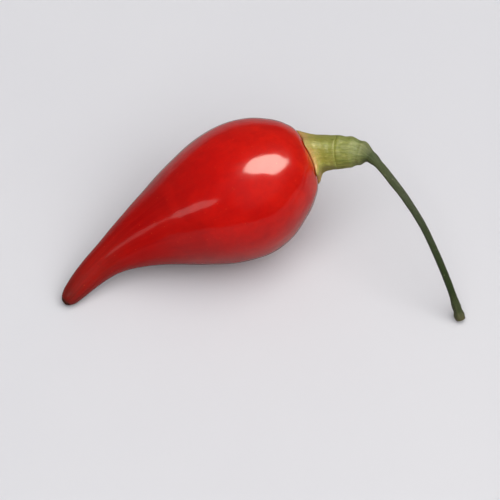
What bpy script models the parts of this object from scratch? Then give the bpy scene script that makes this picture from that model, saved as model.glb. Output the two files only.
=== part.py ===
"""A picked biquinho pepper that lies on its side: fruit, calyx and stem.

The pepper lies on the plane z = 0. It rests on a small flat spot under its belly, on the tip of its
beak and on the cut end of its stem. The world's origin is the middle of the flat spot, +X runs along
the fruit towards its calyx and +Z is up. Units are metres.
"""
import math

import bmesh
import bpy
from mathutils import Matrix, Vector

MM = 0.001

# Straight steps from one given point of a smooth curve to the next, before it is evenly spaced.
CURVE_STEPS = 40
# Half the stretch of a centre line over which its direction is taken.
SLOPE_REACH = 0.1 * MM

# Fruit. Its own axis runs from the shoulder, where the calyx sits, to the tip of the beak.
FRUIT_LENGTH = 31.2 * MM
FRUIT_DIAMETER = 15.0 * MM
SHOULDER_RADIUS = 13.0 * MM
# Share of the length from the shoulder, and share of the largest radius.
FRUIT_OUTLINE = (
    (0.000, 0.000),
    (0.011, 0.400),
    (0.040, 0.590),
    (0.086, 0.750),
    (0.168, 0.930),
    (0.270, 1.000),
    (0.375, 0.935),
    (0.485, 0.765),
    (0.590, 0.567),
    (0.690, 0.398),
    (0.795, 0.260),
    (0.900, 0.190),
    (0.970, 0.135),
    (1.000, 0.000),
)
# The beak's tip lies a little off the straight axis, where the bow isn't yet back at nothing.
FRUIT_BOW = 2.1 * MM
BOW_SKEW = 1.9
BOW_SPAN = 0.97
BOW_ROLL = math.radians(15)
LOBES = 3
LOBE_DEPTH = 0.022
LOBE_TURN = math.radians(40)
# One shoulder stands higher than the other: its slope, its side as a turn from +Y towards +Z, and
# the share of the length over which it fades.
SHOULDER_TILT = 0.17
FULL_SIDE = math.radians(58)
TILT_REACH = 0.33
FRUIT_SIDES = 48
FRUIT_RINGS = 56

# How the fruit lies: the place of its shoulder, and how far its beak points down.
SHOULDER_PLACE = Vector((9.44, -0.53, 10.016)) * MM
FRUIT_LEAN = math.radians(17.71)

# Calyx: a cap draped over the shoulder, whose neck leans towards the stem.
TOUCH_GAP = 0.3 * MM
CALYX_HEIGHT = 2.6 * MM
CALYX_RADIUS = 2.75 * MM
# Share of the height above the shoulder, and share of the radius, from the neck to the underside.
CALYX_OUTLINE = (
    (1.00, 0.00),
    (1.00, 0.45),
    (0.97, 0.68),
    (0.82, 0.74),
    (0.56, 0.77),
    (0.34, 0.84),
    (0.17, 0.95),
    (0.07, 1.00),
    (0.00, 0.94),
    (0.00, 0.50),
    (0.00, 0.00),
)
CALYX_TEETH = 5
TOOTH_REACH = 0.10
# How deep the rim is hollowed between two teeth, as a share of a tooth's reach.
HOLLOW_SHARE = 0.35
TOOTH_TURN = math.radians(20)
RIB_RISE = 0.035
# Share of the calyx's radius from which the ribs and teeth rise.
RIB_START = 0.5
NECK_SLOPE = 0.7
NECK_START = 0.8 * MM
CALYX_SIDES = 60
CALYX_RINGS = 26

# Stem: places on its centre line after the calyx, and its thickness on the way.
STEM_ROUTE = (
    (13.7, -3.0, 11.1),
    (14.7, -4.15, 11.3),
    (15.2, -5.85, 11.25),
    (15.6, -7.9, 10.85),
    (16.1, -10.45, 10.1),
    (16.6, -13.5, 8.65),
    (16.9, -16.5, 6.45),
    (17.2, -18.9, 3.8),
    (17.5, -21.1, 0.38),
)
# Share of the stem's length, and radius in millimetres.
STEM_THICKNESS = (
    (0.00, 1.86),
    (0.05, 1.78),
    (0.11, 1.40),
    (0.17, 0.72),
    (0.25, 0.50),
    (0.55, 0.43),
    (0.88, 0.43),
    (0.95, 0.55),
    (0.985, 0.70),
    (1.00, 0.66),
)
STEM_POINTS = 44
STEM_BEVEL_RESOLUTION = 4

# Side of the block that takes the flat spot off the belly.
BLOCK_SIDE = 12.0 * MM

SKIN_RED = (0.45, 0.012, 0.008)
CALYX_GREEN = (0.16, 0.22, 0.045)
STEM_GREEN = (0.035, 0.07, 0.015)


def clear_scene():
    for old in list(bpy.data.objects):
        bpy.data.objects.remove(old, do_unlink=True)


def new_collection(name):
    collection = bpy.data.collections.new(name)
    bpy.context.scene.collection.children.link(collection)
    return collection


def finish(name, colour, roughness):
    """A plain Principled material."""
    material = bpy.data.materials.new(name)
    material.use_nodes = True
    shader = material.node_tree.nodes["Principled BSDF"]
    shader.inputs["Base Color"].default_value = (*colour, 1.0)
    shader.inputs["Roughness"].default_value = roughness
    shader.inputs["Metallic"].default_value = 0.0
    return material


def curve_point(before, start, end, after, share):
    """A point of the smooth curve from start to end, whose neighbours are before and after."""
    slope_in = (end - before) * 0.5
    slope_out = (after - start) * 0.5
    square = share * share
    cube = square * share
    return (
        start * (2 * cube - 3 * square + 1)
        + slope_in * (cube - 2 * square + share)
        + end * (3 * square - 2 * cube)
        + slope_out * (cube - square)
    )


def smooth_curve(points, count):
    """Count points on the smooth curve through the given ones, evenly spaced along it."""
    first = points[0] * 2 - points[1]
    last = points[-1] * 2 - points[-2]
    return spaced_points([first, *points, last], count)


def spaced_points(padded, count):
    """Evenly spaced points on the curve through padded, whose first and last only set its slope."""
    dense = [padded[1]]
    for before, start, end, after in zip(padded, padded[1:], padded[2:], padded[3:]):
        for step in range(1, CURVE_STEPS + 1):
            dense.append(curve_point(before, start, end, after, step / CURVE_STEPS))
    lengths = [0.0]
    for start, end in zip(dense, dense[1:]):
        lengths.append(lengths[-1] + (end - start).length)
    spaced = []
    index = 0
    for number in range(count):
        wanted = lengths[-1] * number / (count - 1)
        while index < len(dense) - 2 and lengths[index + 1] < wanted:
            index += 1
        share = (wanted - lengths[index]) / (lengths[index + 1] - lengths[index])
        spaced.append(dense[index].lerp(dense[index + 1], min(share, 1.0)))
    return spaced


def closed_outline(outline, length, radius, rings):
    """An outline from pole to pole as rings + 1 points of (along, radius), square to the axis at both."""
    points = [Vector((along * length, out * radius)) for along, out in outline]
    mirror = Vector((1.0, -1.0))
    return spaced_points([points[1] * mirror, *points, points[-2] * mirror], rings + 1)


def ease(share):
    """A smooth step from 0 to 1."""
    share = max(0.0, min(1.0, share))
    return share * share * (3 - 2 * share)


def shoulder_drop(out):
    """How far the round shoulder falls away at this distance from the fruit's axis."""
    return SHOULDER_RADIUS - math.sqrt(SHOULDER_RADIUS ** 2 - out ** 2)


def shoulder_tilt(along, outward):
    """How much further the shoulder reaches at this offset from its axis than if it were level."""
    full_side = Vector((0.0, math.cos(FULL_SIDE), math.sin(FULL_SIDE)))
    near_shoulder = 1 - ease(along / (FRUIT_LENGTH * TILT_REACH))
    return SHOULDER_TILT * outward.dot(full_side) * near_shoulder


def fruit_centre(along):
    """The centre line of the fruit, bowed to one side between its shoulder and its beak."""
    share = min(max(along / FRUIT_LENGTH, 0.0), 1.0)
    bow = FRUIT_BOW * math.sin(BOW_SPAN * math.pi * share ** BOW_SKEW)
    return Vector((-along, bow * math.cos(BOW_ROLL), bow * math.sin(BOW_ROLL)))


def calyx_centre(along):
    """The centre line of the calyx, which leans over towards the stem."""
    rise = max(along, 0.0)
    lean = NECK_SLOPE * (math.hypot(rise, NECK_START) - NECK_START)
    return Vector((along, -lean, 0.0))


def ring_directions(centre, along):
    """Two directions across the centre line at this place, one level and one upright."""
    tangent = (centre(along + SLOPE_REACH) - centre(along - SLOPE_REACH)).normalized()
    level = Vector((0.0, 0.0, 1.0)).cross(tangent).normalized()
    return level, tangent.cross(level)


def ball(sides, rings):
    """A ball of radius 1 with its poles on Z, to be reshaped."""
    mesh = bmesh.new()
    bmesh.ops.create_uvsphere(mesh, u_segments=sides, v_segments=rings, radius=1.0)
    return mesh


def ring_and_turn(place, rings):
    """Which ring of the ball a place is on, counted from the top pole, and its turn about Z."""
    polar = math.acos(max(-1.0, min(1.0, place.z)))
    return round(polar * rings / math.pi), math.atan2(place.y, place.x)


def add_object(mesh, name, material, collection, parent=None):
    data = bpy.data.meshes.new(name)
    if mesh.calc_volume(signed=True) < 0.0:
        bmesh.ops.reverse_faces(mesh, faces=mesh.faces)
    mesh.to_mesh(data)
    mesh.free()
    data.shade_smooth()
    data.materials.append(material)
    piece = bpy.data.objects.new(name, data)
    piece.parent = parent
    collection.objects.link(piece)
    return piece


def make_fruit(collection, axis):
    mesh = ball(FRUIT_SIDES, FRUIT_RINGS)
    outline = closed_outline(FRUIT_OUTLINE, FRUIT_LENGTH, FRUIT_DIAMETER / 2, FRUIT_RINGS)
    for vertex in mesh.verts:
        ring, turn = ring_and_turn(vertex.co, FRUIT_RINGS)
        along, out = outline[ring]
        share = out / (FRUIT_DIAMETER / 2)
        out *= 1 + LOBE_DEPTH * share * math.cos(LOBES * (turn - LOBE_TURN))
        level, upright = ring_directions(fruit_centre, along)
        outward = (level * math.cos(turn) + upright * math.sin(turn)) * out
        vertex.co = fruit_centre(along) + outward
        vertex.co.x += shoulder_tilt(along, outward)
    skin = finish("pepper_skin", SKIN_RED, 0.22)
    return add_object(mesh, "fruit", skin, collection, axis)


def make_calyx(collection, axis):
    mesh = ball(CALYX_SIDES, CALYX_RINGS)
    outline = closed_outline(CALYX_OUTLINE, CALYX_HEIGHT, CALYX_RADIUS, CALYX_RINGS)
    for vertex in mesh.verts:
        ring, turn = ring_and_turn(vertex.co, CALYX_RINGS)
        height, out = outline[ring]
        wave = math.cos(CALYX_TEETH * (turn - TOOTH_TURN))
        spread = max(out / CALYX_RADIUS - RIB_START, 0.0) / (1 - RIB_START)
        tooth = TOOTH_REACH * spread ** 2 * max(wave, -HOLLOW_SHARE)
        out *= 1 + tooth + RIB_RISE * wave * spread
        seated = 1 - height / CALYX_HEIGHT
        along = height - shoulder_drop(out) * seated
        level, upright = ring_directions(calyx_centre, along)
        outward = (level * math.cos(turn) + upright * math.sin(turn)) * out
        vertex.co = calyx_centre(along) + outward
        vertex.co.x += TOUCH_GAP + shoulder_tilt(0.0, outward) * seated
    green = finish("calyx_green", CALYX_GREEN, 0.5)
    return add_object(mesh, "calyx", green, collection, axis)


def stem_radius(share):
    """The stem's radius at this share of its length."""
    for (start, thick), (end, thin) in zip(STEM_THICKNESS, STEM_THICKNESS[1:]):
        if share <= end:
            return (thick + (thin - thick) * ease((share - start) / (end - start))) * MM
    return STEM_THICKNESS[-1][1] * MM


def make_stem(collection, axis):
    """A tube along the route, which starts square on the neck of the calyx."""
    neck_end = calyx_centre(CALYX_HEIGHT + TOUCH_GAP) + Vector((TOUCH_GAP, 0.0, 0.0))
    start = axis.matrix_world @ neck_end
    route = [start] + [Vector(place) * MM for place in STEM_ROUTE]
    data = bpy.data.curves.new("stem", "CURVE")
    data.dimensions = "3D"
    data.bevel_depth = 1.0  # each point's own radius gives the thickness
    data.bevel_resolution = STEM_BEVEL_RESOLUTION
    data.use_fill_caps = True
    spline = data.splines.new("POLY")
    places = smooth_curve(route, STEM_POINTS)
    spline.points.add(STEM_POINTS - 1)
    for number, place in enumerate(places):
        spline.points[number].co = (*place, 1.0)
        spline.points[number].radius = stem_radius(number / (STEM_POINTS - 1))
    spline.use_smooth = True
    data.materials.append(finish("stem_green", STEM_GREEN, 0.55))
    stem = bpy.data.objects.new("stem", data)
    collection.objects.link(stem)
    return stem


def flatten_belly(fruit, cutters):
    """Take off the little of the belly that is below the plane it lies on."""
    mesh = bmesh.new()
    bmesh.ops.create_cube(mesh, size=BLOCK_SIDE, matrix=Matrix.Translation((0.0, 0.0, -BLOCK_SIDE / 2)))
    data = bpy.data.meshes.new("belly_block")
    mesh.to_mesh(data)
    mesh.free()
    block = bpy.data.objects.new("belly_block", data)
    block.display_type = "WIRE"
    block.hide_render = True
    cutters.objects.link(block)
    cut = fruit.modifiers.new("flat spot", "BOOLEAN")
    cut.operation = "DIFFERENCE"
    cut.object = block


def main():
    clear_scene()
    pepper = new_collection("biquinho_pepper")
    cutters = new_collection("cutters")
    axis = bpy.data.objects.new("fruit_axis", None)
    axis.location = SHOULDER_PLACE
    axis.rotation_euler = (0.0, -FRUIT_LEAN, 0.0)
    pepper.objects.link(axis)
    bpy.context.view_layer.update()
    fruit = make_fruit(pepper, axis)
    make_calyx(pepper, axis)
    make_stem(pepper, axis)
    flatten_belly(fruit, cutters)
    bpy.context.view_layer.update()


main()
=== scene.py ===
"""Looks of a picked biquinho pepper that lies on its side on a pale surface."""
import math

import bmesh
import bpy
from mathutils import Matrix, Vector, noise
from mathutils.bvhtree import BVHTree


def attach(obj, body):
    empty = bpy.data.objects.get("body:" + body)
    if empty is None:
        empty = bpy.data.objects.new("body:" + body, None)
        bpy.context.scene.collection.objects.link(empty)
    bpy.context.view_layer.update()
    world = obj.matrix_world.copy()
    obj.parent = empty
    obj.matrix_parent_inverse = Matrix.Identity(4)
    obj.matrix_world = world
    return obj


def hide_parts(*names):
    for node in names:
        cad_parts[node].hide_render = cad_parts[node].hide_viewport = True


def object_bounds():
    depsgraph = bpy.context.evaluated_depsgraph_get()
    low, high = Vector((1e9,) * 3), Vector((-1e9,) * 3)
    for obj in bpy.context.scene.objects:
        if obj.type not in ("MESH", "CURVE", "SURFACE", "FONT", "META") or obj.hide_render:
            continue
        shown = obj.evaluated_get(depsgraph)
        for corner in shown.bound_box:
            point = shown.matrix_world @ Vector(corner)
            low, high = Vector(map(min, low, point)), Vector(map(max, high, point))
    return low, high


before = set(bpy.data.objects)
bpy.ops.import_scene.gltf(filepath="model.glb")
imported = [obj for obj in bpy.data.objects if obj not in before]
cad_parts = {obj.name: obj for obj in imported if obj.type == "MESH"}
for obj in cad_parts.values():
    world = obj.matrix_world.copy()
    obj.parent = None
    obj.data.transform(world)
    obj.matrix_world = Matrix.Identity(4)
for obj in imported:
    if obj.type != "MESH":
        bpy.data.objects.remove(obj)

CAD_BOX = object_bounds()
MM = 0.001

# The fruit's own form, in the measures of the solid that it dresses.
FRUIT_LENGTH = 31.2 * MM
FRUIT_RADIUS = 7.5 * MM
SHOULDER_RADIUS = 13.0 * MM
# Share of the length from the shoulder, and share of the largest radius.
FRUIT_OUTLINE = (
    (0.000, 0.000),
    (0.011, 0.400),
    (0.040, 0.590),
    (0.086, 0.750),
    (0.168, 0.930),
    (0.270, 1.000),
    (0.375, 0.935),
    (0.485, 0.765),
    (0.590, 0.567),
    (0.690, 0.398),
    (0.795, 0.260),
    (0.900, 0.190),
    (0.965, 0.140),
    (0.992, 0.080),
    (1.000, 0.000),
)
# The beak's tip lies a little off the straight axis, where the bow isn't yet back at nothing.
FRUIT_BOW = 2.1 * MM
BOW_SKEW = 1.9
BOW_SPAN = 0.97
BOW_ROLL = math.radians(15)
LOBES = 3
LOBE_DEPTH = 0.022
LOBE_TURN = math.radians(40)
# One shoulder stands higher than the other: its slope, its side as a turn from +Y towards +Z, and
# the share of the length over which it fades.
SHOULDER_TILT = 0.17
FULL_SIDE = math.radians(58)
TILT_REACH = 0.33
SHOULDER_PLACE = Vector((9.44, -0.53, 10.016)) * MM
FRUIT_LEAN = math.radians(17.71)
FRUIT_SIDES = 256
FRUIT_RINGS = 340
# Soft dents that the growing fruit leaves in its skin, and low furrows that run down from the calyx.
DENT_SIZE = 5.5 * MM
DENT_DEPTH = 0.07 * MM
RIPPLE_SIZE = 2.2 * MM
RIPPLE_DEPTH = 0.012 * MM
# Keeps the ripples from falling in step with the dents.
RIPPLE_SHIFT = Vector((0.03, 0.0, 0.0))
FURROWS = 7
FURROW_DEPTH = 0.05 * MM
FURROW_REACH = 0.16
FURROW_SWAY = 1.1
# Distances from the fruit's axis over which dents and ripples, and furrows, grow to their full depth.
GIRTH_FADE = (0.3 * MM, 3.0 * MM)
FURROW_FADE = (0.5 * MM, 2.5 * MM)
# From one layer of noise to the next finer one.
LAYER_SHIFT = Vector((7.1, 3.7, 1.9))

# Calyx
CALYX_SEAT = 0.03 * MM
# Height over the shoulder from which the skin under the calyx is sought.
SEAT_SEARCH = 4.0 * MM
CALYX_HEIGHT = 2.85 * MM
CALYX_RADIUS = 2.7 * MM
# Share of the height above the shoulder, and share of the radius, from the neck to the underside.
CALYX_OUTLINE = (
    (1.00, 0.00),
    (1.00, 0.40),
    (0.995, 0.64),
    (0.965, 0.685),
    (0.91, 0.695),
    (0.80, 0.705),
    (0.70, 0.735),
    (0.54, 0.765),
    (0.34, 0.83),
    (0.19, 0.925),
    (0.11, 0.99),
    (0.06, 1.02),
    (0.02, 1.00),
    (0.00, 0.92),
    (0.00, 0.50),
    (0.00, 0.00),
)
CALYX_TEETH = 5
TOOTH_REACH = 0.13
HOLLOW_SHARE = 0.35
TOOTH_TURN = math.radians(20)
# How much the teeth grow towards their tips, and how uneven their spacing is.
TOOTH_TAPER = 3
TOOTH_SWAY = 0.10
SWAY_TURN = 0.7
RIB_RISE = 0.045
RIB_START = 0.45
RIB_ROUNDING = 1.4
# Unevenness of the cap: its size and depth, the distances from the axis over which it starts, and
# the shares of the height over which it fades towards the rim.
CAP_ROUGH_SIZE = 1.3 * MM
CAP_ROUGH_DEPTH = 0.05 * MM
CAP_ROUGH_START = (0.3 * MM, 1.2 * MM)
CAP_ROUGH_RIM = (0.04, 0.2)
NECK_SLOPE = 0.7
NECK_START = 0.8 * MM
CALYX_SIDES = 200
CALYX_RINGS = 150

# Stem: places on its centre line after the calyx, and its thickness on the way.
STEM_ROUTE = (
    (13.7, -3.0, 11.1),
    (14.7, -4.15, 11.3),
    (15.2, -5.85, 11.25),
    (15.6, -7.9, 10.85),
    (16.1, -10.45, 10.1),
    (16.6, -13.5, 8.65),
    (16.9, -16.5, 6.45),
    (17.2, -18.9, 3.8),
    (17.5, -21.1, 0.38),
)
# Share of the stem's length, and radius in millimetres.
STEM_THICKNESS = (
    (0.00, 1.76),
    (0.012, 1.84),
    (0.06, 1.74),
    (0.11, 1.34),
    (0.16, 0.64),
    (0.22, 0.46),
    (0.55, 0.38),
    (0.88, 0.38),
    (0.945, 0.49),
    (0.958, 0.47),
    (0.985, 0.60),
    (1.00, 0.55),
)
# How deep the stem starts inside the calyx.
STEM_DEPTH = 0.25 * MM
STEM_RINGS = 417
STEM_SIDES = 56
STEM_RIDGES = 5
RIDGE_RISE = 0.06
RIDGE_TWIST = 2.2
# Shares of the length over which the ridges rise.
RIDGE_FADE = (0.02, 0.3)
BUMP_SIZE = 1.1 * MM
BUMP_RISE = 0.045
# The cut end has a low rim and a sunken middle: share of the radius, and height in millimetres.
CUT_RIM = ((0.97, 0.06), (0.86, 0.05))
CUT_MIDDLE = -0.05

# Looks. Ramps give a colour for each share of a piece's length or height. Layers are laid over the
# ramp one after the other: mask, how much of it shows, colour, and kind of blend. The scales of
# patches, flecks, specks, cells and unevenness are repeats to the metre, strands are counted round
# the piece and over its length, and a speck's size and share are parts of its own cell.
# Both skin ramps darken from the middle of the length to the beak. This is partly the beak's own
# deeper, drier red and partly painted shade on the neck and beak, which lie low.
SKIN_DEEP = (
    (0.00, (0.58, 0.022, 0.006)),
    (0.05, (0.58, 0.006, 0.003)),
    (0.30, (0.58, 0.003, 0.002)),
    (0.60, (0.42, 0.002, 0.002)),
    (0.88, (0.26, 0.014, 0.010)),
    (1.00, (0.15, 0.018, 0.014)),
)
SKIN_WARM = (
    (0.00, (0.74, 0.050, 0.009)),
    (0.08, (0.74, 0.012, 0.004)),
    (0.35, (0.72, 0.006, 0.003)),
    (0.70, (0.48, 0.004, 0.003)),
    (1.00, (0.20, 0.018, 0.013)),
)
SKIN_WARM_SHARE = 0.75
SKIN_LAYERS = (
    ("Flecks", 0.22, (0.38, 0.002, 0.002), "MIX"),
    ("Strands", 0.16, (0.74, 0.012, 0.004), "MIX"),
    ("Specks", 0.30, (0.76, 0.06, 0.02), "MIX"),
)
# How waxy the skin is: shiny on the body, duller along the beak.
SKIN_WAX = (
    (0.00, (0.80, 0.80, 0.80)),
    (0.48, (0.80, 0.80, 0.80)),
    (0.66, (0.26, 0.26, 0.26)),
    (0.98, (0.20, 0.20, 0.20)),
    (1.00, (0.00, 0.00, 0.00)),
)
# The dry scar at the tip of the beak, with a ragged edge.
SCAR_COLOUR = (0.075, 0.020, 0.010, 1)
SCAR_START = 0.989
SCAR_FULL = 0.999
SCAR_RAGGED = 0.006
SCAR_ROUGH = 0.45
SKIN = {
    "patches": 210.0, "flecks": 1300.0,
    "strand count": 60.0, "strand length": 5.0,
    "specks": 1500.0, "speck size": 0.16, "speck share": 0.35,
    "cells": 7000.0, "unevenness": 1400.0,
    "strand relief": 0.25, "relief depth": 0.012 * MM,
    "roughness": 0.20, "fleck roughness": 0.06,
    "own values": {
        "Coat Roughness": 0.09, "Coat IOR": 1.45, "IOR": 1.42, "Specular IOR Level": 0.15,
        "Subsurface Weight": 0.22, "Subsurface Radius": (1.0, 0.12, 0.06),
        "Subsurface Scale": 0.9 * MM,
    },
}
CALYX_COLOURS = (
    (0.00, (0.76, 0.42, 0.14)),
    (0.13, (0.69, 0.43, 0.13)),
    (0.28, (0.49, 0.40, 0.078)),
    (0.55, (0.38, 0.36, 0.060)),
    (0.80, (0.35, 0.35, 0.064)),
    (1.00, (0.345, 0.35, 0.076)),
)
CALYX_LAYERS = (
    ("Ribs", 0.35, (0.50, 0.52, 0.17), "MIX"),
    ("Patches", 0.60, (0.74, 0.86, 0.66), "MULTIPLY"),
    ("Flecks", 0.25, (0.56, 0.52, 0.15), "MIX"),
    ("Strands", 0.60, (0.60, 0.66, 0.50), "MULTIPLY"),
    ("Specks", 0.35, (0.60, 0.56, 0.24), "MIX"),
)
# From this height of a crest a rib shows paler.
PALE_RIB = 0.62
CALYX = {
    "patches": 700.0, "flecks": 3200.0,
    "strand count": 70.0, "strand length": 2.2,
    "specks": 3600.0, "speck size": 0.22, "speck share": 0.35,
    "cells": 14000.0, "unevenness": 3600.0,
    "strand relief": 0.9, "relief depth": 0.035 * MM,
    "roughness": 0.38, "fleck roughness": 0.14,
    "own values": {
        "IOR": 1.42, "Subsurface Weight": 0.18, "Subsurface Radius": (0.5, 0.8, 0.15),
        "Subsurface Scale": 0.4 * MM,
    },
}
# The thin part's dark green is the stalk's own green deepened with painted shade.
STEM_COLOURS = (
    (0.00, (0.37, 0.37, 0.080)),
    (0.05, (0.36, 0.36, 0.092)),
    (0.10, (0.31, 0.33, 0.11)),
    (0.17, (0.07, 0.10, 0.025)),
    (0.50, (0.030, 0.055, 0.010)),
    (0.84, (0.036, 0.060, 0.014)),
    (0.95, (0.085, 0.105, 0.040)),
    (1.00, (0.17, 0.155, 0.075)),
)
STEM_LAYERS = (
    ("Patches", 0.60, (0.78, 0.92, 0.66), "MULTIPLY"),
    ("Strands", 0.75, (0.50, 0.58, 0.42), "MULTIPLY"),
    ("Specks", 0.35, (0.30, 0.32, 0.15), "MIX"),
    ("Cut", 1.00, (0.36, 0.29, 0.15), "MIX"),
)
# The cut face's own measure, from where its dry colour starts to where it is full.
CUT_FADE = (0.45, 0.62)
STEM = {
    "patches": 420.0, "flecks": 2600.0,
    "strand count": 46.0, "strand length": 16.0,
    "specks": 2200.0, "speck size": 0.24, "speck share": 0.3,
    "cells": 16000.0, "unevenness": 4200.0,
    "strand relief": 1.0, "relief depth": 0.04 * MM,
    "roughness": 0.42, "fleck roughness": 0.18,
    "own values": {
        "IOR": 1.42, "Subsurface Weight": 0.10, "Subsurface Radius": (0.4, 0.7, 0.15),
        "Subsurface Scale": 0.3 * MM,
    },
}
# How much of the cells' relief is domes, the rest being unevenness.
DOME_SHARE = 0.35
# The part of a speck that is full, before it fades to its edge.
SPECK_CORE = 0.4

# The pale surface, in two shades that drift into each other.
SURFACE_SHADES = ((0.70, 0.715, 0.735, 1), (0.73, 0.745, 0.76, 1))
SURFACE_DRIFT = 0.5
SURFACE_SIDES = 96
SURFACE_REACH = 2.5

# The photograph's viewing direction, and what the view is centred on.
VIEW_AZIMUTH = math.radians(-26.4)
VIEW_ELEVATION = math.radians(55)
VIEW_DISTANCE = 0.5
VIEW_WIDTH = 55 * MM
VIEW_ADVANCE = 5.0 * MM
SENSOR = 36.0
CLIP_NEAR = 0.01
CLIP_FAR = 10.0
# The pale surface as the glossy skin mirrors it, and as it throws light back up, dimmer than it looks.
SURFACE_MIRRORED = (0.34, 0.31, 0.31, 1.0)
SURFACE_BOUNCE = (0.20, 0.18, 0.18, 1.0)
# The room around it: as light on the pepper, as mirrored by its skin, and as a far background.
SURROUND_FILL = (0.285, 0.276, 0.287, 1.0)
SURROUND_MIRRORED = (0.08, 0.06, 0.055, 1.0)
SURROUND_SEEN = (0.70, 0.71, 0.72, 1.0)
# The place that the lights face.
LIT_PLACE = Vector((0.0, -2.0, 6.0)) * MM

# Straight steps from one given point of a smooth curve to the next, before it is evenly spaced.
CURVE_STEPS = 60
# Half the stretch of a centre line over which its direction is taken.
SLOPE_REACH = 0.05 * MM


def curve_point(before, start, end, after, share):
    """A point of the smooth curve from start to end, whose neighbours are before and after."""
    slope_in = (end - before) * 0.5
    slope_out = (after - start) * 0.5
    square = share * share
    cube = square * share
    return (
        start * (2 * cube - 3 * square + 1)
        + slope_in * (cube - 2 * square + share)
        + end * (3 * square - 2 * cube)
        + slope_out * (cube - square)
    )


def spaced_points(padded, count):
    """Evenly spaced points on the curve through padded, whose first and last only set its slope."""
    dense = [padded[1]]
    for before, start, end, after in zip(padded, padded[1:], padded[2:], padded[3:]):
        for step in range(1, CURVE_STEPS + 1):
            dense.append(curve_point(before, start, end, after, step / CURVE_STEPS))
    lengths = [0.0]
    for start, end in zip(dense, dense[1:]):
        lengths.append(lengths[-1] + (end - start).length)
    spaced = []
    index = 0
    for number in range(count):
        wanted = lengths[-1] * number / (count - 1)
        while index < len(dense) - 2 and lengths[index + 1] < wanted:
            index += 1
        share = (wanted - lengths[index]) / (lengths[index + 1] - lengths[index])
        spaced.append(dense[index].lerp(dense[index + 1], min(share, 1.0)))
    return spaced


def smooth_curve(points, count):
    """Count points on the smooth curve through the given ones, evenly spaced along it."""
    first = points[0] * 2 - points[1]
    last = points[-1] * 2 - points[-2]
    return spaced_points([first, *points, last], count)


def closed_outline(outline, length, radius, rings):
    """An outline from pole to pole as rings + 1 points of (along, radius), square to the axis."""
    points = [Vector((along * length, out * radius)) for along, out in outline]
    mirror = Vector((1.0, -1.0))
    return spaced_points([points[1] * mirror, *points, points[-2] * mirror], rings + 1)


def ease(share):
    """A smooth step from 0 to 1."""
    share = max(0.0, min(1.0, share))
    return share * share * (3 - 2 * share)


def fade(value, start, end):
    """A smooth step from 0 at start to 1 at end."""
    return ease((value - start) / (end - start))


def shoulder_drop(out):
    """How far the round shoulder falls away at this distance from the fruit's axis."""
    return SHOULDER_RADIUS - math.sqrt(SHOULDER_RADIUS ** 2 - out ** 2)


def shoulder_tilt(along, outward):
    """How much further the shoulder reaches at this offset from its axis than if it were level."""
    full_side = Vector((0.0, math.cos(FULL_SIDE), math.sin(FULL_SIDE)))
    near_shoulder = 1 - fade(along / FRUIT_LENGTH, 0.0, TILT_REACH)
    return SHOULDER_TILT * outward.dot(full_side) * near_shoulder


def fruit_centre(along):
    """The centre line of the fruit, bowed to one side between its shoulder and its beak."""
    share = min(max(along / FRUIT_LENGTH, 0.0), 1.0)
    bow = FRUIT_BOW * math.sin(BOW_SPAN * math.pi * share ** BOW_SKEW)
    return Vector((-along, bow * math.cos(BOW_ROLL), bow * math.sin(BOW_ROLL)))


def calyx_centre(along):
    """The centre line of the calyx, which leans over towards the stem."""
    rise = max(along, 0.0)
    lean = NECK_SLOPE * (math.hypot(rise, NECK_START) - NECK_START)
    return Vector((along, -lean, 0.0))


def ring_directions(centre, along):
    """Two directions across the centre line at this place, one level and one upright."""
    tangent = (centre(along + SLOPE_REACH) - centre(along - SLOPE_REACH)).normalized()
    level = Vector((0.0, 0.0, 1.0)).cross(tangent).normalized()
    return level, tangent.cross(level)


def fruit_axis():
    """From the fruit's own axis, which starts at its shoulder, to the surface that it lies on."""
    return Matrix.Translation(SHOULDER_PLACE) @ Matrix.Rotation(-FRUIT_LEAN, 4, "Y")


def layered_noise(place, size, layers):
    """Smooth noise from about -1 to 1, with finer layers on top of it."""
    total = 0.0
    strength = 1.0
    for layer in range(layers):
        total += strength * noise.noise(place / size + LAYER_SHIFT * layer)
        strength *= 0.5
        size *= 0.5
    return total


def round_share(turn):
    """Where a turn lies round a piece, as two measures that run on smoothly past the full turn."""
    return {"level": math.cos(turn), "upright": math.sin(turn)}


class Grid:
    """A closed skin of rings between two poles, with its measures kept for the materials."""

    def __init__(self, sides, rings):
        self.sides = sides
        self.rings = rings
        self.places = []
        self.measures = {}

    def note(self, **values):
        """Keep the measures of the place that was added last."""
        for name, value in values.items():
            self.measures.setdefault(name, []).append(value)

    def faces(self):
        """Quads from ring to ring, and a fan at each pole. The first and last places are the poles."""
        sides = self.sides
        last = len(self.places) - 1
        faces = [(0, 1 + side, 1 + (side + 1) % sides) for side in range(sides)]
        for ring in range(self.rings - 2):
            low = 1 + ring * sides
            for side in range(sides):
                turn = (side + 1) % sides
                faces.append((low + side, low + sides + side, low + sides + turn, low + turn))
        low = last - sides
        faces += [(last, low + (side + 1) % sides, low + side) for side in range(sides)]
        return faces

    def build(self, name, material):
        """The finished piece, with its faces turned outwards."""
        data = bpy.data.meshes.new(name)
        data.from_pydata([tuple(place) for place in self.places], [], self.faces())
        for measure, values in self.measures.items():
            layer = data.attributes.new(measure, "FLOAT", "POINT")
            layer.data.foreach_set("value", values)
        body = bmesh.new()
        body.from_mesh(data)
        if body.calc_volume(signed=True) < 0.0:
            bmesh.ops.reverse_faces(body, faces=body.faces)
        body.to_mesh(data)
        body.free()
        data.shade_smooth()
        data.materials.append(material)
        piece = bpy.data.objects.new(name, data)
        bpy.context.scene.collection.objects.link(piece)
        return piece


def lay_on_surface(place):
    """Keep a place of the fruit on or above the surface that the fruit lies on."""
    return Vector((place.x, place.y, max(place.z, 0.0)))


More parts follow.
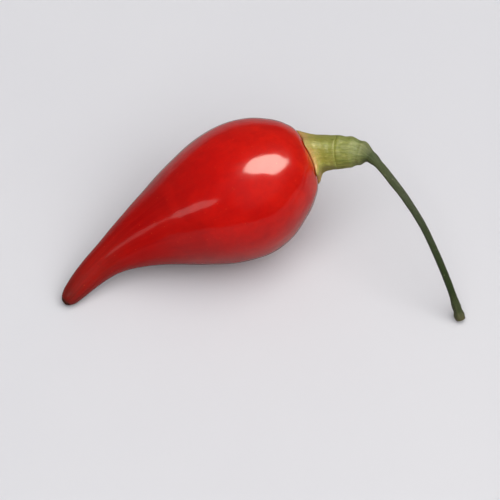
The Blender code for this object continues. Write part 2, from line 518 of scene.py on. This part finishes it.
def fruit_skin_place(along, out, turn, axis):
    """A place on the skin, with the lobes, furrows and soft dents of the grown fruit."""
    fullness = out / FRUIT_RADIUS
    out *= 1 + LOBE_DEPTH * fullness * math.cos(LOBES * (turn - LOBE_TURN))
    level, upright = ring_directions(fruit_centre, along)
    outward = level * math.cos(turn) + upright * math.sin(turn)
    centre = fruit_centre(along)
    place = centre + outward * out
    place.x += shoulder_tilt(along, outward * out)
    girth = fade(out, *GIRTH_FADE)
    dents = DENT_DEPTH * layered_noise(place, DENT_SIZE, 2) * girth
    ripples = RIPPLE_DEPTH * layered_noise(place + RIPPLE_SHIFT, RIPPLE_SIZE, 2) * girth
    near_calyx = 1 - fade(along / FRUIT_LENGTH, 0.0, FURROW_REACH)
    wave = math.cos(FURROWS * turn + FURROW_SWAY * math.sin(2 * turn))
    furrows = FURROW_DEPTH * wave * near_calyx * fade(out, *FURROW_FADE)
    return lay_on_surface(axis @ (place + outward * (dents + ripples + furrows)))


def make_fruit(material):
    """The red fruit with its beak, down to the flat spot that it lies on."""
    axis = fruit_axis()
    outline = closed_outline(FRUIT_OUTLINE, FRUIT_LENGTH, FRUIT_RADIUS, FRUIT_RINGS)
    grid = Grid(FRUIT_SIDES, FRUIT_RINGS)
    for ring, (along, out) in enumerate(outline):
        sides = 1 if ring in (0, FRUIT_RINGS) else FRUIT_SIDES
        for side in range(sides):
            turn = 2 * math.pi * side / FRUIT_SIDES
            grid.places.append(fruit_skin_place(along, out, turn, axis))
            grid.note(along=along / FRUIT_LENGTH, **round_share(turn))
    return grid.build("pepper_fruit", material)


def skin_seat(skin, axis, outward):
    """How high along the fruit's axis the skin lies at this offset from it."""
    start = Vector((SEAT_SEARCH, outward.y, outward.z))
    down = axis.to_3x3() @ Vector((-1.0, 0.0, 0.0))
    hit = skin.ray_cast(axis @ start, down)[0]
    return (axis.inverted() @ hit).x


def make_calyx(material, fruit):
    """The cap, whose underside lies on the skin of the fruit wherever its rim reaches."""
    axis = fruit_axis()
    skin = BVHTree.FromObject(fruit, bpy.context.evaluated_depsgraph_get())
    outline = closed_outline(CALYX_OUTLINE, CALYX_HEIGHT, CALYX_RADIUS, CALYX_RINGS)
    grid = Grid(CALYX_SIDES, CALYX_RINGS)
    for ring, (height, out) in enumerate(outline):
        sides = 1 if ring in (0, CALYX_RINGS) else CALYX_SIDES
        seated = 1 - min(height / CALYX_HEIGHT, 1.0)
        for side in range(sides):
            turn = 2 * math.pi * side / CALYX_SIDES
            wobble = turn + TOOTH_SWAY * math.sin(2 * turn + SWAY_TURN)
            wave = math.cos(CALYX_TEETH * (wobble - TOOTH_TURN))
            spread = max(out / CALYX_RADIUS - RIB_START, 0.0) / (1 - RIB_START)
            tooth = TOOTH_REACH * spread ** TOOTH_TAPER * max(wave, -HOLLOW_SHARE)
            crest = RIB_RISE * math.copysign(abs(wave) ** RIB_ROUNDING, wave) * spread
            reach = out * (1 + tooth + crest)
            along = height - shoulder_drop(reach) * seated
            level, upright = ring_directions(calyx_centre, along)
            outward = (level * math.cos(turn) + upright * math.sin(turn)) * reach
            place = calyx_centre(along) + outward
            seat = skin_seat(skin, axis, place)
            place.x = seat * seated + place.x * (1 - seated) + CALYX_SEAT + height * seated
            rough = layered_noise(place, CAP_ROUGH_SIZE, 3) * CAP_ROUGH_DEPTH
            rough *= fade(out, *CAP_ROUGH_START) * fade(height / CALYX_HEIGHT, *CAP_ROUGH_RIM)
            grid.places.append(axis @ (place + outward.normalized() * rough))
            grid.note(height=height / CALYX_HEIGHT, crest=wave * 0.5 + 0.5, **round_share(turn))
    return grid.build("pepper_calyx", material)


def stem_radius(share):
    """The stem's radius at this share of its length."""
    for (start, thick), (end, thin) in zip(STEM_THICKNESS, STEM_THICKNESS[1:]):
        if share <= end:
            return (thick + (thin - thick) * ease((share - start) / (end - start))) * MM
    return STEM_THICKNESS[-1][1] * MM


def stem_rings(route):
    """Centre, share of the length, two directions across and one along, for each ring of the stem."""
    places = smooth_curve(route, STEM_RINGS)
    side = Vector((0.0, 0.0, 1.0))
    rings = []
    for number, place in enumerate(places):
        ahead = places[min(number + 1, len(places) - 1)]
        behind = places[max(number - 1, 0)]
        tangent = (ahead - behind).normalized()
        side = (side - tangent * side.dot(tangent)).normalized()
        rings.append((place, number / (len(places) - 1), side, tangent.cross(side), tangent))
    return rings


def make_stem(material):
    """The stalk, from inside the calyx over its knee to its cut end on the surface."""
    start = fruit_axis() @ calyx_centre(CALYX_HEIGHT - STEM_DEPTH)
    rings = stem_rings([start] + [Vector(place) * MM for place in STEM_ROUTE])
    grid = Grid(STEM_SIDES, len(rings) + len(CUT_RIM) + 1)
    grid.places.append(rings[0][0])
    grid.note(along=0.0, cut=0.0, **round_share(0.0))
    for place, share, side, up, tangent in rings:
        radius = stem_radius(share)
        for number in range(STEM_SIDES):
            turn = 2 * math.pi * number / STEM_SIDES
            ridge = math.cos(STEM_RIDGES * turn + RIDGE_TWIST * share)
            outward = side * math.cos(turn) + up * math.sin(turn)
            bumps = layered_noise(place + outward * radius, BUMP_SIZE, 3) * BUMP_RISE
            reach = radius * (1 + RIDGE_RISE * ridge * fade(share, *RIDGE_FADE) + bumps)
            grid.places.append(place + outward * reach)
            grid.note(along=share, cut=0.0, **round_share(turn))
    end, share, side, up, tangent = rings[-1]
    for width, lift in CUT_RIM:
        for number in range(STEM_SIDES):
            turn = 2 * math.pi * number / STEM_SIDES
            outward = side * math.cos(turn) + up * math.sin(turn)
            grid.places.append(end + outward * stem_radius(share) * width + tangent * lift * MM)
            grid.note(along=share, cut=1.0 - width * 0.5, **round_share(turn))
    grid.places.append(end + tangent * CUT_MIDDLE * MM)
    grid.note(along=share, cut=1.0, **round_share(0.0))
    return grid.build("pepper_stem", material)


def new_group(name, inputs, outputs):
    """An empty shader node group with these named sockets, each a (name, kind, value)."""
    group = bpy.data.node_groups.new(name, "ShaderNodeTree")
    for label, kind, value in inputs:
        socket = group.interface.new_socket(label, in_out="INPUT", socket_type=kind)
        if value is not None:
            socket.default_value = value
    for label, kind in outputs:
        group.interface.new_socket(label, in_out="OUTPUT", socket_type=kind)
    start = group.nodes.new("NodeGroupInput")
    end = group.nodes.new("NodeGroupOutput")
    return group, start, end


class Wiring:
    """Adds nodes to one node tree and joins them."""

    def __init__(self, tree):
        self.tree = tree

    def add(self, kind, **settings):
        """A new node of this kind."""
        node = self.tree.nodes.new(kind)
        for name, value in settings.items():
            setattr(node, name, value)
        return node

    def feed(self, socket, value):
        """Join an output to a socket, or set the socket's own value."""
        if isinstance(value, bpy.types.NodeSocket):
            self.tree.links.new(value, socket)
        else:
            socket.default_value = value

    def maths(self, operation, *values):
        """The result of one operation on outputs or plain values."""
        node = self.add("ShaderNodeMath", operation=operation)
        for socket, value in zip(node.inputs, values):
            self.feed(socket, value)
        return node.outputs[0]

    def spread(self, value, low, high, to_low=0.0, to_high=1.0):
        """Map low to high onto to_low to to_high, smoothly and held at the ends."""
        node = self.add("ShaderNodeMapRange", interpolation_type="SMOOTHSTEP")
        self.feed(node.inputs["Value"], value)
        self.feed(node.inputs["From Min"], low)
        self.feed(node.inputs["From Max"], high)
        self.feed(node.inputs["To Min"], to_low)
        self.feed(node.inputs["To Max"], to_high)
        return node.outputs["Result"]

    def blend(self, share, first, second, kind="MIX"):
        """Mix two colours by a share from 0 to 1."""
        node = self.add("ShaderNodeMix", data_type="RGBA", blend_type=kind)
        self.feed(node.inputs[0], share)
        self.feed(node.inputs[6], first)
        self.feed(node.inputs[7], second)
        return node.outputs[2]

    def ramp(self, value, stops):
        """A colour for each value, from stops of (value, colour)."""
        node = self.add("ShaderNodeValToRGB")
        ramp = node.color_ramp
        ramp.interpolation = "EASE"
        while len(ramp.elements) < len(stops):
            ramp.elements.new(0.5)
        for element, (position, colour) in zip(ramp.elements, stops):
            element.position = position
            element.color = (*colour, 1.0)
        self.feed(node.inputs["Fac"], value)
        return node.outputs["Color"]

    def measure(self, name):
        """A measure kept on the mesh."""
        node = self.add("ShaderNodeAttribute", attribute_type="GEOMETRY", attribute_name=name)
        return node.outputs["Fac"]

    def place(self):
        """The place on the object, in metres."""
        return self.add("ShaderNodeTexCoord").outputs["Object"]

    def clouds(self, place, scale, detail=3.0, roughness=0.5, distortion=0.0):
        """Soft noise from 0 to 1."""
        node = self.add("ShaderNodeTexNoise")
        self.feed(node.inputs["Vector"], place)
        self.feed(node.inputs["Scale"], scale)
        self.feed(node.inputs["Detail"], detail)
        self.feed(node.inputs["Roughness"], roughness)
        self.feed(node.inputs["Distortion"], distortion)
        return node.outputs["Fac"]

    def use(self, group, **values):
        """Place a node group with its own values."""
        node = self.add("ShaderNodeGroup", node_tree=group)
        for label, value in values.items():
            self.feed(node.inputs[label], value)
        return node.outputs

    def strands(self, group, along, count, length):
        """Strands round the whole piece, so many of them, that drift along its length."""
        level = self.measure("level")
        upright = self.measure("upright")
        return self.use(group, Level=level, Upright=upright, Along=along, Count=count,
                        Length=length)["Strands"]


def mottle_group():
    """Uneven ripening: a large soft patchiness and a finer one, as two masks."""
    group, start, end = new_group(
        "uneven ripening",
        [("Place", "NodeSocketVector", None), ("Patch", "NodeSocketFloat", 200.0),
         ("Fleck", "NodeSocketFloat", 900.0)],
        [("Patches", "NodeSocketFloat"), ("Flecks", "NodeSocketFloat")],
    )
    wires = Wiring(group)
    place = start.outputs["Place"]
    patches = wires.clouds(place, start.outputs["Patch"], roughness=0.55, distortion=0.6)
    flecks = wires.clouds(place, start.outputs["Fleck"], detail=4.0, roughness=0.6)
    wires.feed(end.inputs["Patches"], wires.spread(patches, low=0.34, high=0.66))
    wires.feed(end.inputs["Flecks"], wires.spread(flecks, low=0.36, high=0.68))
    return group


def grain_group():
    """Relief of the outermost cells: round cells with soft borders, and a fine unevenness."""
    group, start, end = new_group(
        "skin cells",
        [("Place", "NodeSocketVector", None), ("Cells", "NodeSocketFloat", 9000.0),
         ("Uneven", "NodeSocketFloat", 2500.0)],
        [("Height", "NodeSocketFloat")],
    )
    wires = Wiring(group)
    cells = wires.add("ShaderNodeTexVoronoi", feature="SMOOTH_F1")
    wires.feed(cells.inputs["Vector"], start.outputs["Place"])
    wires.feed(cells.inputs["Scale"], start.outputs["Cells"])
    uneven = wires.clouds(start.outputs["Place"], start.outputs["Uneven"])
    domes = wires.maths("SUBTRACT", 1.0, cells.outputs["Distance"])
    domes = wires.maths("MULTIPLY", domes, DOME_SHARE)
    uneven = wires.maths("MULTIPLY", uneven, 1 - DOME_SHARE)
    wires.feed(end.inputs["Height"], wires.maths("ADD", domes, uneven))
    return group


def fibre_group():
    """Strands that run along a piece: fine lines around it that drift slowly along it."""
    group, start, end = new_group(
        "strands",
        [("Level", "NodeSocketFloat", 0.0), ("Upright", "NodeSocketFloat", 0.0),
         ("Along", "NodeSocketFloat", 0.0), ("Count", "NodeSocketFloat", 40.0),
         ("Length", "NodeSocketFloat", 3.0)],
        [("Strands", "NodeSocketFloat")],
    )
    wires = Wiring(group)
    across = wires.add("ShaderNodeCombineXYZ")
    width = wires.maths("DIVIDE", start.outputs["Count"], 2 * math.pi)
    wires.feed(across.inputs["X"], wires.maths("MULTIPLY", start.outputs["Level"], width))
    wires.feed(across.inputs["Y"], wires.maths("MULTIPLY", start.outputs["Upright"], width))
    drift = wires.maths("MULTIPLY", start.outputs["Along"], start.outputs["Length"])
    wires.feed(across.inputs["Z"], drift)
    lines = wires.clouds(across.outputs["Vector"], 1.0, roughness=0.6, distortion=0.2)
    wires.feed(end.inputs["Strands"], wires.spread(lines, low=0.32, high=0.68))
    return group


def speck_group():
    """Scattered small spots, such as pores and breathing spots."""
    group, start, end = new_group(
        "specks",
        [("Place", "NodeSocketVector", None), ("Number", "NodeSocketFloat", 900.0),
         ("Size", "NodeSocketFloat", 0.18), ("Share", "NodeSocketFloat", 0.4)],
        [("Specks", "NodeSocketFloat")],
    )
    wires = Wiring(group)
    cells = wires.add("ShaderNodeTexVoronoi", feature="F1")
    wires.feed(cells.inputs["Vector"], start.outputs["Place"])
    wires.feed(cells.inputs["Scale"], start.outputs["Number"])
    inner = wires.maths("MULTIPLY", start.outputs["Size"], SPECK_CORE)
    spots = wires.spread(cells.outputs["Distance"], inner, start.outputs["Size"],
                         to_low=1.0, to_high=0.0)
    tint = wires.add("ShaderNodeSeparateColor")
    wires.feed(tint.inputs["Color"], cells.outputs["Color"])
    chosen = wires.maths("LESS_THAN", tint.outputs["Red"], start.outputs["Share"])
    wires.feed(end.inputs["Specks"], wires.maths("MULTIPLY", spots, chosen))
    return group


def start_material(name):
    """A new material, its wiring and its shader."""
    material = bpy.data.materials.new(name)
    material.use_nodes = True
    wires = Wiring(material.node_tree)
    shader = material.node_tree.nodes["Principled BSDF"]
    return material, wires, shader


def relief(wires, shader, height, depth):
    """Let a height from 0 to 1 stand up by this depth in metres."""
    bump = wires.add("ShaderNodeBump")
    bump.inputs["Strength"].default_value = 1.0
    bump.inputs["Distance"].default_value = depth
    wires.feed(bump.inputs["Height"], height)
    wires.feed(shader.inputs["Normal"], bump.outputs["Normal"])


def tissue_masks(groups, wires, look, place, lengthwise):
    """Patches, flecks, strands and specks of one kind of tissue, each as a mask."""
    ripening = wires.use(groups["mottle"], Place=place, Patch=look["patches"], Fleck=look["flecks"])
    specks = wires.use(groups["specks"], Place=place, Number=look["specks"],
                       Size=look["speck size"], Share=look["speck share"])
    strands = wires.strands(groups["fibre"], lengthwise, look["strand count"],
                            look["strand length"])
    return {"Patches": ripening["Patches"], "Flecks": ripening["Flecks"], "Strands": strands,
            "Specks": specks["Specks"]}


def layered(wires, colour, masks, layers):
    """Lay each layer's colour over what is there, where its mask lets it show."""
    for mask, share, tint, kind in layers:
        shown = wires.maths("MULTIPLY", masks[mask], share)
        colour = wires.blend(shown, colour, (*tint, 1.0), kind)
    return colour


def tissue_roughness(wires, look, masks):
    """The tissue's own roughness, a little more where it is flecked."""
    return wires.maths("MULTIPLY_ADD", masks["Flecks"], look["fleck roughness"], look["roughness"])


def finish_tissue(groups, wires, shader, look, place, masks):
    """The shader's own values, and the relief of cells and strands."""
    for name, value in look["own values"].items():
        shader.inputs[name].default_value = value
    cells = wires.use(groups["grain"], Place=place, Cells=look["cells"],
                      Uneven=look["unevenness"])["Height"]
    strands = wires.maths("MULTIPLY", masks["Strands"], look["strand relief"])
    relief(wires, shader, wires.maths("ADD", cells, strands), look["relief depth"])


def skin_material(groups):
    """Ripe red skin: waxy and glossy, a little more orange at the shoulder, darker down the neck and
    beak with painted shade, dry and dark at the tip.
    """
    material, wires, shader = start_material("ripe skin")
    place = wires.place()
    along = wires.measure("along")
    masks = tissue_masks(groups, wires, SKIN, place, along)
    warmth = wires.maths("MULTIPLY", masks["Patches"], SKIN_WARM_SHARE)
    colour = wires.blend(warmth, wires.ramp(along, SKIN_DEEP), wires.ramp(along, SKIN_WARM))
    colour = layered(wires, colour, masks, SKIN_LAYERS)
    ragged = wires.maths("MULTIPLY_ADD", masks["Flecks"], SCAR_RAGGED, along)
    scar = wires.spread(ragged, SCAR_START, SCAR_FULL)
    wires.feed(shader.inputs["Base Color"], wires.blend(scar, colour, SCAR_COLOUR))
    gloss = tissue_roughness(wires, SKIN, masks)
    wires.feed(shader.inputs["Roughness"], wires.maths("MULTIPLY_ADD", scar, SCAR_ROUGH, gloss))
    wires.feed(shader.inputs["Coat Weight"], wires.ramp(along, SKIN_WAX))
    finish_tissue(groups, wires, shader, SKIN, place, masks)
    return material


def calyx_material(groups):
    """Fresh green cap: yellowish at its rim, with paler ribs and a darker waist."""
    material, wires, shader = start_material("calyx green")
    place = wires.place()
    height = wires.measure("height")
    masks = tissue_masks(groups, wires, CALYX, place, height)
    masks["Ribs"] = wires.spread(wires.measure("crest"), PALE_RIB, 1.0)
    colour = layered(wires, wires.ramp(height, CALYX_COLOURS), masks, CALYX_LAYERS)
    wires.feed(shader.inputs["Base Color"], colour)
    wires.feed(shader.inputs["Roughness"], tissue_roughness(wires, CALYX, masks))
    finish_tissue(groups, wires, shader, CALYX, place, masks)
    return material


def stem_material(groups):
    """Green stalk: light where it leaves the calyx, dark along its thin part with painted shade over
    its own green, dry at its cut end.
    """
    material, wires, shader = start_material("stem green")
    place = wires.place()
    along = wires.measure("along")
    masks = tissue_masks(groups, wires, STEM, place, along)
    masks["Cut"] = wires.spread(wires.measure("cut"), *CUT_FADE)
    colour = layered(wires, wires.ramp(along, STEM_COLOURS), masks, STEM_LAYERS)
    wires.feed(shader.inputs["Base Color"], colour)
    wires.feed(shader.inputs["Roughness"], tissue_roughness(wires, STEM, masks))
    finish_tissue(groups, wires, shader, STEM, place, masks)
    return material


def surface_material(groups):
    """The plain pale surface that the pepper lies on."""
    material, wires, shader = start_material("pale surface")
    place = wires.place()
    patches = wires.use(groups["mottle"], Place=place, Patch=18.0, Fleck=400.0)["Patches"]
    colour = wires.blend(wires.maths("MULTIPLY", patches, SURFACE_DRIFT), *SURFACE_SHADES)
    path = wires.add("ShaderNodeLightPath")
    colour = wires.blend(path.outputs["Is Diffuse Ray"], colour, SURFACE_BOUNCE)
    colour = wires.blend(path.outputs["Is Glossy Ray"], colour, SURFACE_MIRRORED)
    wires.feed(shader.inputs["Base Color"], colour)
    shader.inputs["Roughness"].default_value = 0.55
    shader.inputs["Specular IOR Level"].default_value = 0.2
    grain = wires.use(groups["grain"], Place=place, Cells=2500.0, Uneven=900.0)["Height"]
    relief(wires, shader, grain, 0.01 * MM)
    return material


def view_directions():
    """Right, away and up as seen level from the camera."""
    right = Vector((math.cos(VIEW_AZIMUTH), math.sin(VIEW_AZIMUTH), 0.0))
    away = Vector((-math.sin(VIEW_AZIMUTH), math.cos(VIEW_AZIMUTH), 0.0))
    return right, away, Vector((0.0, 0.0, 1.0))


def add_light(name, toward, distance, size, power, colour, roll=0.0, sheen_only=False):
    """A flat soft light that faces the pepper, turned by roll about its own direction.

    It stands toward (right, away, up) as seen from the camera. Glossy surfaces mirror a light that
    is for sheen only, and it adds no other light. They don't mirror the others.
    """
    right, away, up = view_directions()
    toward = (right * toward[0] + away * toward[1] + up * toward[2]).normalized()
    data = bpy.data.lights.new(name, "AREA")
    data.shape = "ELLIPSE" if sheen_only else "RECTANGLE"
    data.size, data.size_y = size
    data.energy = power
    data.color = colour
    light = bpy.data.objects.new(name, data)
    light.location = LIT_PLACE + toward * distance
    level = up.cross(toward).normalized()
    turn = Matrix((level, toward.cross(level), toward)).transposed().to_4x4()
    light.rotation_euler = (turn @ Matrix.Rotation(roll, 4, "Z")).to_euler()
    light.visible_glossy = sheen_only
    light.visible_diffuse = not sheen_only
    bpy.context.scene.collection.objects.link(light)


def make_stage(groups):
    """The pale surface, two lights for the sheen, a ceiling for the light and a soft surround."""
    body = bmesh.new()
    bmesh.ops.create_circle(body, cap_ends=True, segments=SURFACE_SIDES, radius=SURFACE_REACH)
    data = bpy.data.meshes.new("surface")
    body.to_mesh(data)
    body.free()
    data.materials.append(surface_material(groups))
    surface = bpy.data.objects.new("surface", data)
    bpy.context.scene.collection.objects.link(surface)

    add_light("window", toward=(0.358, 0.132, 0.924), distance=0.60, size=(0.65, 0.36), power=8.2,
              colour=(1.0, 0.88, 0.76), roll=math.radians(73), sheen_only=True)
    add_light("side window", toward=(-0.694, -0.469, 0.547), distance=0.80, size=(0.39, 0.19),
              power=0.30, colour=(1.0, 0.93, 0.88), roll=math.radians(53), sheen_only=True)
    add_light("ceiling", toward=(0.25, -0.30, 0.92), distance=0.90, size=(1.3, 1.3), power=10.7,
              colour=(1.0, 0.98, 0.99))

    world = bpy.data.worlds.new("soft surround")
    world.use_nodes = True
    bpy.context.scene.world = world
    wires = Wiring(world.node_tree)
    back = world.node_tree.nodes["Background"]
    path = wires.add("ShaderNodeLightPath")
    colour = wires.blend(path.outputs["Is Glossy Ray"], SURROUND_FILL, SURROUND_MIRRORED)
    colour = wires.blend(path.outputs["Is Camera Ray"], colour, SURROUND_SEEN)
    wires.feed(back.inputs["Color"], colour)


def make_camera():
    """The camera at the photograph's viewing angle, a little past the middle of the pepper."""
    right, away, up = view_directions()
    forward = away * math.cos(VIEW_ELEVATION) - up * math.sin(VIEW_ELEVATION)
    low, high = CAD_BOX
    middle = Vector(((low.x + high.x) / 2, (low.y + high.y) / 2, 0.0))
    middle += away * VIEW_ADVANCE
    data = bpy.data.cameras.new("camera")
    data.sensor_width = SENSOR
    data.lens = SENSOR * VIEW_DISTANCE / VIEW_WIDTH
    data.clip_start = CLIP_NEAR
    data.clip_end = CLIP_FAR
    camera = bpy.data.objects.new("camera", data)
    camera.location = middle - forward * VIEW_DISTANCE
    camera.rotation_euler = forward.to_track_quat("-Z", "Y").to_euler()
    bpy.context.scene.collection.objects.link(camera)
    bpy.context.scene.camera = camera


def main():
    """Dress the fruit, calyx and stem, and set them before the camera."""
    groups = {
        "mottle": mottle_group(),
        "grain": grain_group(),
        "fibre": fibre_group(),
        "specks": speck_group(),
    }
    make_camera()
    make_stage(groups)
    fruit = make_fruit(skin_material(groups))
    calyx = make_calyx(calyx_material(groups), fruit)
    stem = make_stem(stem_material(groups))
    dressed = ((fruit, "fruit", "skin"), (calyx, "calyx", "calyx"), (stem, "stem", "stem"))
    for piece, node, slot in dressed:
        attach(piece, "root")
        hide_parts(node)
    bpy.context.scene.view_settings.view_transform = "Standard"


main()
bpy.context.view_layer.update()
